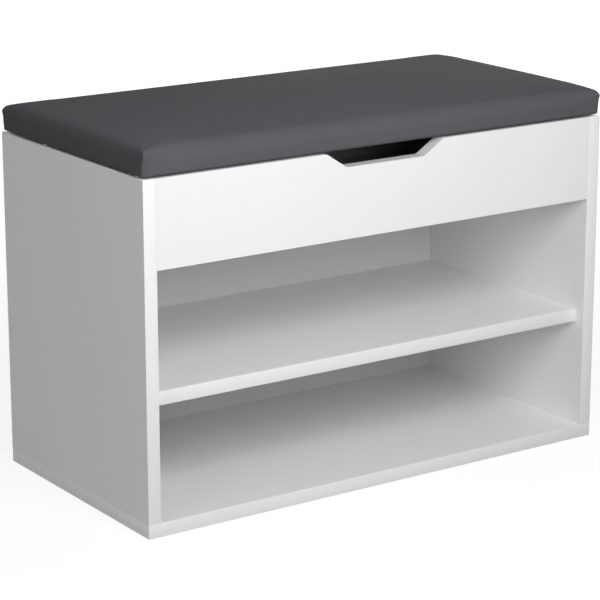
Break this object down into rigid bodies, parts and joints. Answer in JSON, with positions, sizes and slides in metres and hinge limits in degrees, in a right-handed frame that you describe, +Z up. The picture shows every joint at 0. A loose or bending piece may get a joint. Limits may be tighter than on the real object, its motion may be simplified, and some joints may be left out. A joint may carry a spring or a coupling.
{
  "type": "entryway bench",
  "caption": "White board bench with open shoe bays, a storage box behind a front panel with a hand cut-out, and an upholstered seat that hinges up at the rear on a folding lid stay.",
  "frame": {"origin": "centre of the underside of the base panel, on the floor", "axes": "+X along the bench's width, to the right of someone facing its front; -Y towards the front; +Z up"},
  "size_m": [0.6, 0.306, 0.42],
  "materials": {
    "white_board": "satin",
    "white_edge_band": "satin",
    "white_hardboard": "satin",
    "beech": "matte",
    "zinc_plated_screw": "satin",
    "zinc_casting": "matte",
    "clear_bumper": "gloss",
    "hinge_steel": "satin",
    "stay_steel": "satin",
    "raw_board": "matte",
    "foam": "matte",
    "anthracite_leatherette": "satin",
    "black_lining": "matte",
    "staple_wire": "satin"
  },
  "bodies": {
    "carcass": {"base_panel": "white_board", "base_edge_bands": "white_edge_band", "left_side_panel": "white_board", "left_panel_edge_bands": "white_edge_band", "right_side_panel": "white_board", "right_panel_edge_bands": "white_edge_band", "shoe_shelf": "white_board", "shelf_edge_band": "white_edge_band", "storage_floor": "white_board", "front_panel": "white_board", "front_panel_edge_band": "white_edge_band", "rear_rail": "white_board", "back_panel": "white_hardboard", "wooden_dowels": "beech", "cam_bolts": "zinc_plated_screw", "cam_locks": "zinc_casting", "confirmat_screws": "zinc_plated_screw", "lid_bumpers": "clear_bumper", "left_hinge_rail_leaf": "hinge_steel", "right_hinge_rail_leaf": "hinge_steel", "hinge_pins": "hinge_steel", "rail_leaf_screws": "zinc_plated_screw", "stay_wall_bracket": "stay_steel", "stay_wall_screws": "zinc_plated_screw", "stay_wall_rivet": "stay_steel"},
    "seat": {"left_hinge_seat_leaf": "hinge_steel", "right_hinge_seat_leaf": "hinge_steel", "seat_leaf_screws": "zinc_plated_screw", "stay_seat_bracket": "stay_steel", "stay_seat_screws": "zinc_plated_screw", "stay_seat_rivet": "stay_steel", "seat_board": "raw_board", "seat_foam": "foam", "seat_cover": "anthracite_leatherette", "seat_lining": "black_lining", "cover_staples": "staple_wire", "lining_staples": "staple_wire"},
    "stay_lower": {"stay_lower_bar": "stay_steel", "stay_knee_rivet": "stay_steel"},
    "stay_upper": {"stay_upper_bar": "stay_steel"}
  },
  "joints": [
    {"name": "seat_hinge", "type": "hinge", "parent": "carcass", "child": "seat", "pos_m": [0, 0.153, 0.3785], "axis": [-1, 0, 0], "range_deg": [0, 95]},
    {"name": "stay_wall_pivot", "type": "hinge", "parent": "carcass", "child": "stay_lower", "pos_m": [0.28245, 0.118, 0.322], "axis": [-1, 0, 0], "range_deg": [0, 95]},
    {"name": "stay_seat_pivot", "type": "hinge", "parent": "seat", "child": "stay_upper", "pos_m": [0.28065, 0.063, 0.3695], "axis": [1, 0, 0], "range_deg": [0, 95]}
  ],
  "couplings": [
    {"joint": "stay_wall_pivot", "follows": "seat_hinge", "ratio": 1},
    {"joint": "stay_seat_pivot", "follows": "seat_hinge", "ratio": 1}
  ]
}
